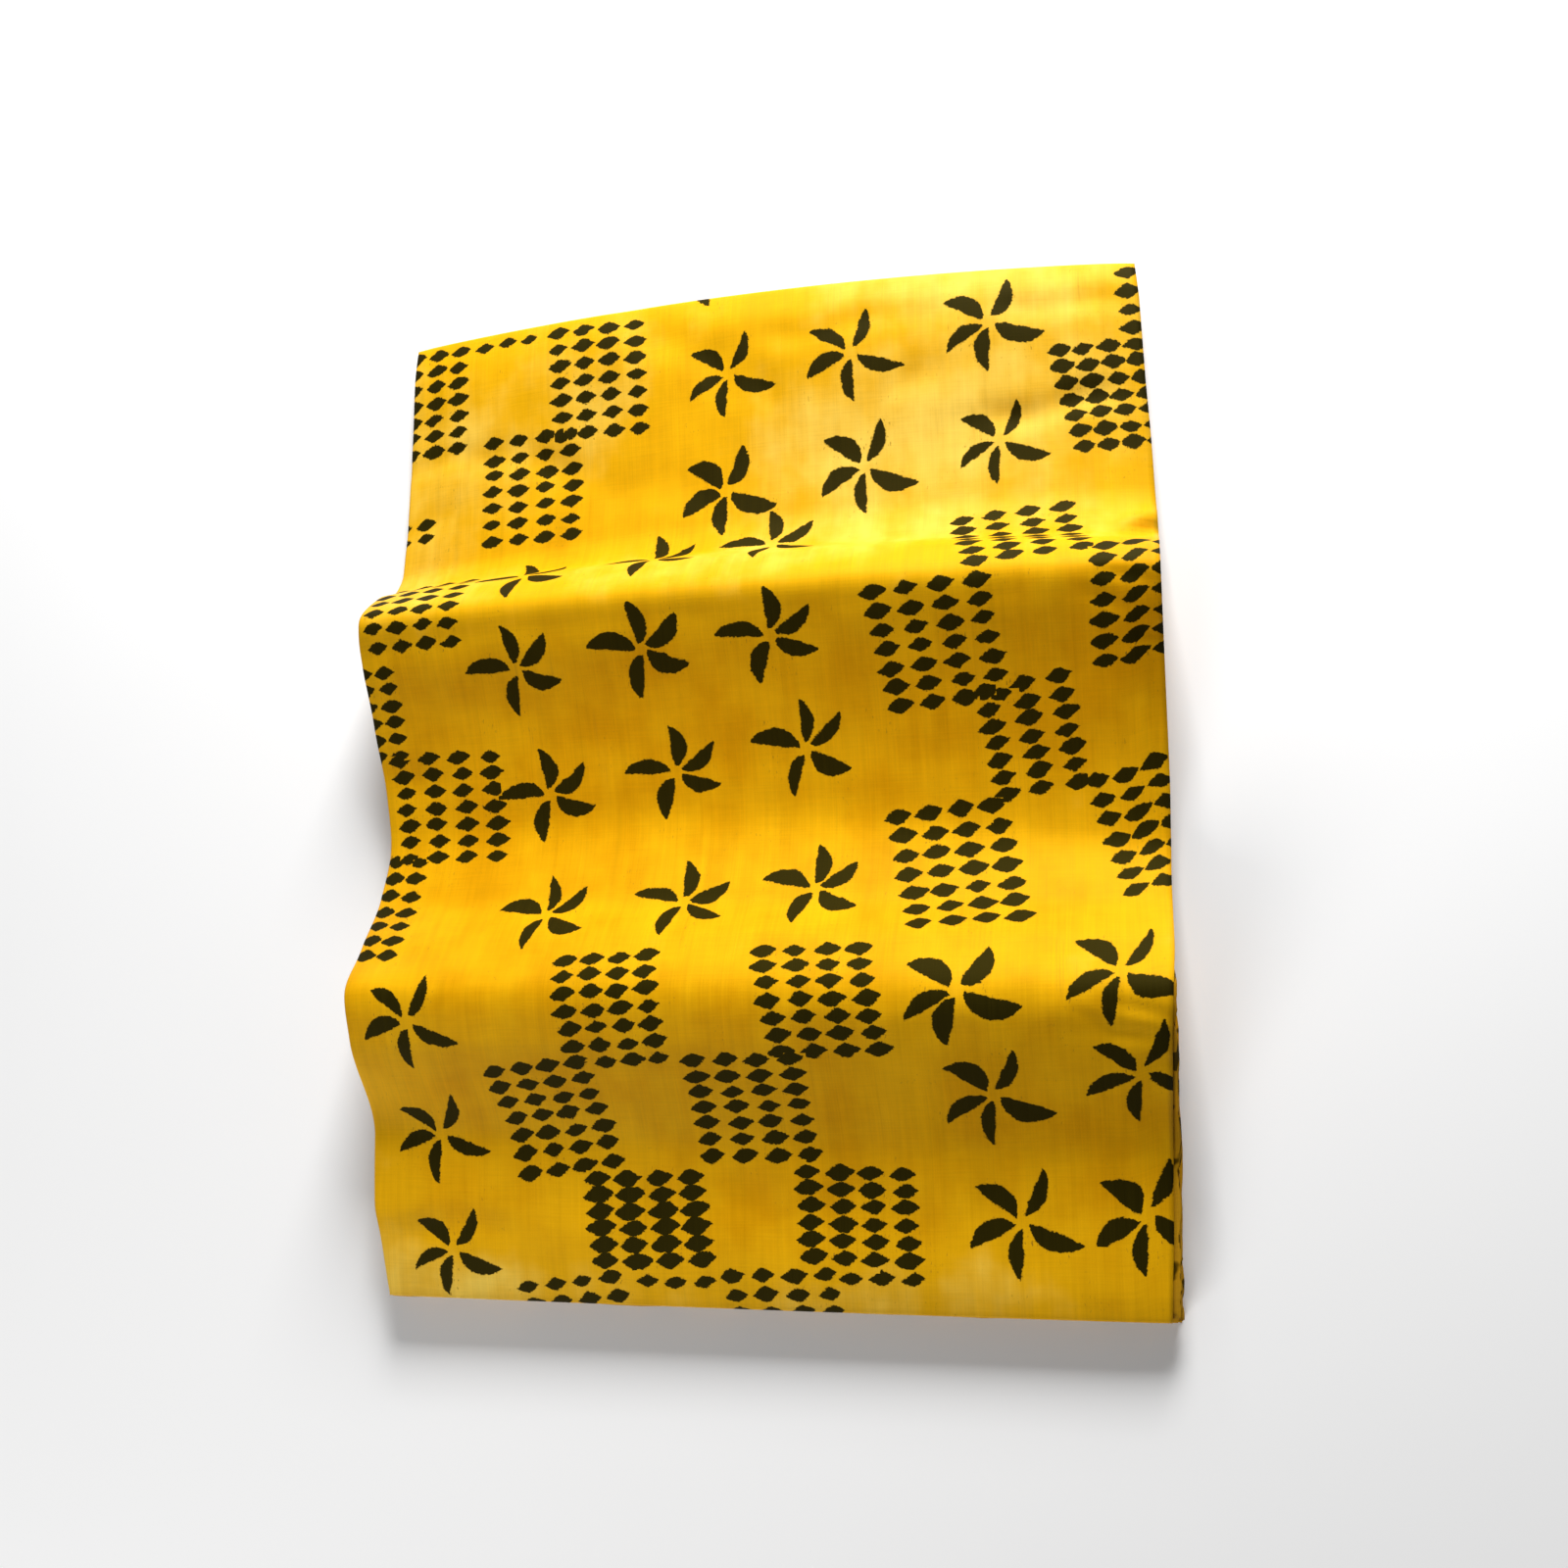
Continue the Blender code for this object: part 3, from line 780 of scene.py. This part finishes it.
def to_stamp(places, stamp):
    """Places of the cloth from the middle of a stamp, turned and leaning as it is."""
    turn, lean = math.radians(stamp["turn"]), math.tan(math.radians(stamp["lean"]))
    x = places[..., 0] - stamp["across"] / 100
    y = stamp["down"] / 100 - places[..., 1]
    turned_x = x * math.cos(turn) + y * math.sin(turn)
    turned_y = y * math.cos(turn) - x * math.sin(turn)
    return np.stack((turned_x + turned_y * lean, turned_y), -1)


def petal_reach(near, grown):
    """How far each place is from the middle of the nearest petal, in petal sizes."""
    reach = np.full(len(near), np.inf)
    for petal in named_rows(PETAL_COLUMNS, PETALS):
        turn = math.radians(petal["turn"])
        along = near[:, 0] * math.cos(turn) + near[:, 1] * math.sin(turn)
        aside = near[:, 1] * math.cos(turn) - near[:, 0] * math.sin(turn)
        half_length = petal["length"] * grown / 2000
        half_width = petal["half_width"] * grown / 1000
        off_along = (along - petal["start"] * grown / 1000 - half_length) / half_length
        reach = np.minimum(reach, np.hypot(off_along, aside / half_width + PETAL_BOW))
    return reach


def diamond_reach(near, stamp, half_x, half_y):
    """How far each place is from the middle of the block's nearest diamond, in diamonds."""
    pitch = np.array((stamp["pitch_x"], stamp["pitch_y"])) / 100
    most = np.array((stamp["columns"], stamp["rows"])) - 1
    cell = np.clip(np.round(near / pitch + most / 2), 0, most)
    off = abs(near - (cell - most / 2) * pitch) * 100 / stamp["size"]
    return off[:, 0] / half_x + off[:, 1] / half_y


def dye_and_light_share(cloth_uv):
    """How pale or how deep each place of the cloth is made: uneven dyeing, and painted light and
    painted shade.
    """
    share = np.zeros(len(cloth_uv))
    for patch in named_rows(DYE_AND_LIGHT_COLUMNS, DYE_AND_LIGHT_PATCHES):
        x = (cloth_uv[:, 0] * 100 - patch["across"]) / patch["half_width"]
        y = (cloth_uv[:, 1] * 100 - patch["down"]) / patch["half_length"]
        share += patch["pale"] * np.exp(-x * x - y * y)
    return share


def print_stamps(piece, cloth_uv, sizes):
    """Give each face the place, kind and sizes of the print that is nearest to it.

    stamp_kind: 1 for a flower or 2 for a block, its number and its size. block_count: columns
    and rows, and a flower's spread. dye: how pale or deep the cloth is made, by uneven dyeing
    and by painted light and shade, and how steep the cloth.
    """
    mesh = piece.data
    corners = np.empty(len(mesh.loops), dtype=int)
    mesh.loops.foreach_get("vertex_index", corners)
    uv = cloth_uv[corners].reshape(-1, 4, 2)
    middle = uv.mean(axis=1)
    best = np.full(len(middle), PRINT_REACH)
    local = np.zeros_like(uv)
    kind = np.zeros((len(middle), 3)) + (0, 0, 1)
    count = np.ones((len(middle), 3))
    pitch = np.full((len(middle), 3), 0.02)
    for number, stamp in enumerate(stamp_rows(), 1):
        near = to_stamp(middle, stamp)
        if stamp["columns"]:
            reach = diamond_reach(near, stamp, sizes.diamond_x, sizes.diamond_y)
        else:
            reach = petal_reach(near, stamp["size"] / 100)
        closer = reach < best
        best[closer] = reach[closer]
        local[closer] = to_stamp(uv[closer], stamp)
        kind[closer] = (2 if stamp["columns"] else 1, number, stamp["size"] / 100)
        if stamp["columns"]:
            count[closer] = (stamp["columns"], stamp["rows"], 0)
            pitch[closer] = (stamp["pitch_x"] / 100, stamp["pitch_y"] / 100, 0)
        else:
            count[closer] = (1, 1, stamp["spread"] / 10000)

    facing = np.empty(len(mesh.vertices) * 3)
    mesh.vertices.foreach_get("normal", facing)
    steep = np.clip((STEEP_FROM - abs(facing[2::3])) / STEEP_RANGE, 0, 1)
    # How pale or deep the cloth is made: uneven dyeing, and painted light and painted shade.
    dye_and_light = mesh.attributes.new("dye_and_light", "FLOAT_VECTOR", "POINT")
    dye_and_light.data.foreach_set(
        "vector", np.stack((dye_and_light_share(cloth_uv), steep, np.zeros_like(steep)), -1).ravel())
    layer = mesh.uv_layers.new(name="stamp")
    layer.data.foreach_set("uv", local.ravel())
    for name, values in (("stamp_kind", kind), ("block_count", count), ("block_pitch", pitch)):
        attribute = mesh.attributes.new(name, "FLOAT_VECTOR", "FACE")
        attribute.data.foreach_set("vector", values.ravel())


def top_leaf_grid(columns, rows, turn_steps):
    """Points and cloth coordinates of the top leaf with its three turned-down sides."""
    turns = FOLD_TURN * np.arange(turn_steps, 0, -1) / turn_steps
    shares = np.linspace(0, 1, columns)
    row_numbers = even_rows(rows)
    turn_x = np.concatenate((turns, np.zeros(columns)))[None]
    share = np.concatenate((np.zeros(turn_steps), shares))[None]
    back = np.concatenate((turns, np.zeros(rows + turn_steps)))[:, None]
    front = np.concatenate((np.zeros(turn_steps + rows), turns[::-1]))[:, None]
    row = np.concatenate((np.zeros(turn_steps), row_numbers,
                          np.full(turn_steps, LAST_LINE)))[:, None]
    turn_x, share, back, front, row = np.broadcast_arrays(turn_x, share, back, front, row)

    start = side("left", row) + FOLD_RADIUS
    flat_x = start + (side("right", row) - start) * share
    x = flat_x - FOLD_RADIUS * np.sin(turn_x)
    ends = across("y", x)
    back_y = ends[..., 0] - FOLD_RADIUS
    front_y = ends[..., -1] + FOLD_RADIUS
    y = between_ends(x, row, FOLD_RADIUS)
    y = np.where(back > 0, back_y + FOLD_RADIUS * np.sin(back), y)
    y = np.where(front > 0, front_y - FOLD_RADIUS * np.sin(front), y)
    turn_y = np.maximum(back, front)
    drop = FOLD_RADIUS * np.maximum(1 - np.cos(turn_x), 1 - np.cos(turn_y))
    points = below(x, y, drop)

    flat = points[turn_steps:turn_steps + rows]
    down = distance_down(flat) + FOLD_RADIUS
    down = np.vstack((np.repeat(down[:1], turn_steps, 0), down,
                      np.repeat(down[-1:], turn_steps, 0)))
    uv = np.stack((flat_x - FOLD_RADIUS * turn_x,
                   down - FOLD_RADIUS * back + FOLD_RADIUS * front), -1)
    return points, uv


def hidden_grid():
    """Shares of the width and row numbers of a hidden fold, closer together at its rim."""
    near = np.array(RIM_STEPS) / HIDDEN_WIDTH
    inner = np.linspace(near[-1], 1 - near[-1], HIDDEN_COLUMNS)[1:-1]
    ends = np.array(END_STEPS)
    rows = np.concatenate((ends, np.linspace(1, LAST_LINE - 1, HIDDEN_ROWS),
                           LAST_LINE - ends[::-1]))
    return np.meshgrid(np.concatenate((near, inner, 1 - near[::-1])), rows)


# Pieces

class COTTON_OT_top_leaf(bpy.types.Operator):
    """Make the leaf that shows, with its rolled sides, soft creases and prints"""
    bl_idname = "cotton.top_leaf"
    bl_label = "Top leaf"

    def execute(self, context):
        scene = context.scene
        sizes = scene.cotton_sizes
        points, uv = top_leaf_grid(sizes.columns, sizes.rows, sizes.turn_steps)
        cloth_uv = uv.reshape(-1, 2)
        piece = make_piece("cloth_top", points.reshape(-1, 3),
                           grid_faces(*points.shape[:2]), cloth_uv)
        print_stamps(piece, cloth_uv, scene.cotton_stamps)
        add_wall(piece, sizes.leaf)
        piece.data.materials.append(
            stamped_cotton("stamped_cotton", scene.cotton_colours, scene.cotton_stamps))
        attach(piece, "root")
        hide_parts("top_leaf")
        return {"FINISHED"}


class COTTON_OT_under_leaf(bpy.types.Operator):
    """Make the other half of the top pair, which shows past it at the lower right"""
    bl_idname = "cotton.under_leaf"
    bl_label = "Under leaf"

    def execute(self, context):
        shares = np.concatenate((np.linspace(0, 0.9, 60), np.linspace(0.9, 1, 31)[1:]))
        share, row = np.meshgrid(shares, even_rows(UNDER_ROWS))
        left = side("left", row) + UNDER_INSET
        x = left + (side("under", row) - left) * share
        x = x - UNDER_FRAY * (share > 0.999) * (1 + np.sin(row * 9))
        y = between_ends(x, row, UNDER_INSET)
        points = below(x, y, np.full_like(x, UNDER_DEPTH))
        uv = np.stack((x, distance_down(points) + UNDER_START), -1)
        piece = make_piece("cloth_under", points.reshape(-1, 3), grid_faces(*x.shape),
                           uv.reshape(-1, 2))
        add_wall(piece, context.scene.cotton_sizes.leaf)
        piece.data.materials.append(
            inner_cotton_painted_shade("under_cotton_painted_shade", context.scene.cotton_colours, UNDER_SHADE))
        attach(piece, "root")
        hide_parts("under_leaf")
        return {"FINISHED"}


def hidden_fold(number):
    """Points, faces and cloth coordinates of one folded pair of leaves under the top ones.

    Its two leaves are joined round the left, back and front, and open at the right.
    """
    k = number - 1
    wave = 17.0 * number
    share, row = hidden_grid()
    rows, columns = share.shape

    in_left = 0.0012 + 0.0008 * np.sin(row * 1.9 + wave) + 0.0006 * np.sin(row * 4.3 + 2 * wave)
    left = side("left", row) + in_left
    right = side("under", row)
    in_ends = 0.0014 + 0.0008 * np.sin(share * 17 + wave) + 0.0006 * np.sin(share * 41 + 2 * wave)

    def sheet(upper):
        """Points of its upper or lower leaf, with the woven edge uneven at the right."""
        ragged = (0.0026 + 0.0018 * np.sin(row * 1.3 + wave + 1.7 * upper)
                  + 0.0010 * np.sin(row * 3.7 + 2 * wave + upper))
        x = left + (right - ragged - left) * share
        lines = across("y", x)
        y = between_ends(x, row, in_ends)
        inside = np.minimum.reduce((x - left, right - x, lines[..., 0] - y,
                                    y - lines[..., -1]))
        tall = below(x, y, np.full_like(x, HIDDEN_DEPTH), HIDDEN_CREASES)[..., 2]
        rim = tall - RIM_FALL * np.exp(-np.maximum(inside, 0) / RIM_REACH)
        thick_share = RIM_LEAST / HIDDEN_FOLDS
        extra = np.maximum(rim - RIM_LEAST, 0)
        thick = np.minimum(FOLD_MOST, thick_share * FOLD_SHARE + FOLD_GROWTH * extra)

        def middle(i):
            """Height of the middle of fold i at the rim."""
            return thick_share * (i + 0.5) + extra * RISE_SHARES[i]

        def seam(i):
            """Where fold i meets the one above it, well inside the pile."""
            if i < 0:
                return np.zeros_like(rim)
            if i == HIDDEN_FOLDS - 1:
                return tall - TOP_GAP
            return (middle(i) + middle(i + 1)) / 2

        t = np.clip((inside - SEAM_START) / SEAM_RUN, 0, 1)
        swell = t * t * (3 - 2 * t)
        if upper:
            z = middle(k) + thick / 2
            z = z + (seam(k) - SEAM_GAP - z) * swell
        else:
            z = middle(k) - thick / 2 if k else np.zeros_like(rim)
            z = z + (seam(k - 1) + SEAM_GAP * bool(k) - z) * swell
        return np.stack((x, y, z), -1)

    top, bottom = sheet(1), sheet(0)
    path = [(0, i) for i in range(columns - 1, 0, -1)]
    path += [(j, 0) for j in range(rows)]
    path += [(rows - 1, i) for i in range(1, columns)]
    path_j, path_i = np.array(path).T
    rim_top, rim_bottom = top[path_j, path_i], bottom[path_j, path_i]
    outward = np.zeros_like(rim_top)
    outward[path_i == 0, 0] = -1
    outward[path_j == 0, 1] = 1
    outward[path_j == rows - 1, 1] = -1
    centre = (rim_top + rim_bottom) / 2
    half = (rim_top[:, 2] - rim_bottom[:, 2])[:, None] / 2
    rings = []
    for step in range(1, RING_STEPS):
        angle = math.pi * step / RING_STEPS
        ring = centre + outward * half * math.sin(angle) * RING_BULGE
        ring[:, 2] = centre[:, 2] + half[:, 0] * math.cos(angle)
        rings.append(ring)

    size = rows * columns
    length = len(path)
    points = np.concatenate([top.reshape(-1, 3), bottom.reshape(-1, 3), *rings])
    upper_faces = grid_faces(rows, columns)
    lower_faces = grid_faces(rows, columns, size)[:, ::-1]
    at = path_j * columns + path_i
    lines = [at] + [2 * size + length * ring + np.arange(length) for ring in range(len(rings))]
    lines.append(at + size)
    faces = [upper_faces, lower_faces]
    for first, second in zip(lines, lines[1:]):
        faces.append(np.stack((first[:-1], first[1:], second[1:], second[:-1]), -1)[:, ::-1])
    uv_top = np.stack((top[..., 0], distance_down(top)), -1).reshape(-1, 2)
    uv_bottom = np.stack((bottom[..., 0] - 0.6, distance_down(bottom)), -1).reshape(-1, 2)
    uv_rings = [uv_top[at] - 0.001 * (ring + 1) for ring in range(len(rings))]
    area = float(np.ptp(top[..., 0]) * distance_down(top)[-1].mean() * 2)
    return points, np.concatenate(faces), np.concatenate([uv_top, uv_bottom, *uv_rings]), area


class COTTON_OT_hidden_folds(bpy.types.Operator):
    """Make the folded leaves that carry the top ones and show only at their edges"""
    bl_idname = "cotton.hidden_folds"
    bl_label = "Hidden folds"

    def execute(self, context):
        leaf = context.scene.cotton_sizes.leaf
        colours = context.scene.cotton_colours
        for number in range(HIDDEN_FOLDS, 0, -1):
            points, faces, uv, area = hidden_fold(number)
            piece = make_piece(f"cloth_fold_{number}", points, faces, uv)
            add_wall(piece, leaf)
            # Each fold gets the darkened inner cotton, painted shade, scaled a little
            # differently.
            piece.data.materials.append(
                inner_cotton_painted_shade(f"inner_cotton_painted_shade_{number}", colours, 0.9 + 0.05 * (number % 3)))
            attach(piece, "root")
            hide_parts("hidden_layers")
            round(area / PAIR_WIDTH, 3)
        return {"FINISHED"}


class COTTON_OT_stage(bpy.types.Operator):
    """Set the pale floor, the soft light and the camera"""
    bl_idname = "cotton.stage"
    bl_label = "Stage"

    def execute(self, context):
        scene = context.scene
        mesh = bpy.data.meshes.new("floor")
        corners = ((-1, -1), (1, -1), (1, 1), (-1, 1))
        mesh.from_pydata([(x * FLOOR_HALF, y * FLOOR_HALF, -FLOOR_DEPTH) for x, y in corners],
                         [], [(0, 1, 2, 3)])
        floor = bpy.data.objects.new("floor", mesh)
        scene.collection.objects.link(floor)
        paint = Paint("pale_floor")
        spot = Value(paint, paint.node("ShaderNodeTexCoord", {}, {}).outputs["Object"])
        grain = paint.noise(spot, 3.0)
        mesh.materials.append(paint.finish(
            paint.tint((0.97, 0.97, 0.97), grain * 0.02 + 0.99), 0.8,
            paint.bump(grain, 0.0005)))

        for name, place, size, power in LAMPS:
            lamp = bpy.data.lights.new(name, "AREA")
            lamp.size = size
            lamp.energy = power
            holder = bpy.data.objects.new(name, lamp)
            holder.location = place
            holder.rotation_euler = (-holder.location).to_track_quat("-Z", "Y").to_euler()
            scene.collection.objects.link(holder)

        world = bpy.data.worlds.new("room")
        world.use_nodes = True
        background = world.node_tree.nodes["Background"].inputs
        background["Color"].default_value = (1, 1, 1, 1)
        background["Strength"].default_value = ROOM_LIGHT
        scene.world = world
        scene.view_settings.view_transform = "Standard"

        lens = bpy.data.cameras.new("camera")
        lens.sensor_width = CAMERA_SENSOR
        lens.lens = CAMERA_LENS
        camera = bpy.data.objects.new("camera", lens)
        right, down, forward = (Vector(axis) for axis in (CAMERA_RIGHT, CAMERA_DOWN,
                                                          CAMERA_FORWARD))
        turned = Matrix((right, -down, -forward)).transposed().to_4x4()
        turned.translation = CAMERA_PLACE
        camera.matrix_world = turned
        scene.collection.objects.link(camera)
        scene.camera = camera
        return {"FINISHED"}


class COTTON_PT_panel(bpy.types.Panel):
    """Lists the pieces of the folded cloth"""
    bl_idname = "COTTON_PT_panel"
    bl_label = "Folded cotton"
    bl_space_type = "VIEW_3D"
    bl_region_type = "UI"
    bl_category = "Cotton"

    def draw(self, context):
        for operator in OPERATORS:
            self.layout.operator(operator.bl_idname)
        for group in ("cotton_sizes", "cotton_colours", "cotton_stamps"):
            box = self.layout.box()
            settings = getattr(context.scene, group)
            for name in settings.bl_rna.properties.keys():
                if name not in ("rna_type", "name"):
                    box.prop(settings, name)


OPERATORS = (COTTON_OT_top_leaf, COTTON_OT_under_leaf, COTTON_OT_hidden_folds,
             COTTON_OT_stage)
GROUPS = {"cotton_sizes": ClothSizes, "cotton_colours": ClothColours,
          "cotton_stamps": StampSizes}
CLASSES = (*GROUPS.values(), *OPERATORS, COTTON_PT_panel)


def register():
    for made in CLASSES:
        bpy.utils.register_class(made)
    for name, group in GROUPS.items():
        setattr(bpy.types.Scene, name, PointerProperty(type=group))


def unregister():
    for name in GROUPS:
        delattr(bpy.types.Scene, name)
    for made in reversed(CLASSES):
        bpy.utils.unregister_class(made)


def main():
    register()
    bpy.ops.cotton.top_leaf()
    bpy.ops.cotton.under_leaf()
    bpy.ops.cotton.hidden_folds()
    bpy.ops.cotton.stage()


if __name__ == "__main__":
    main()
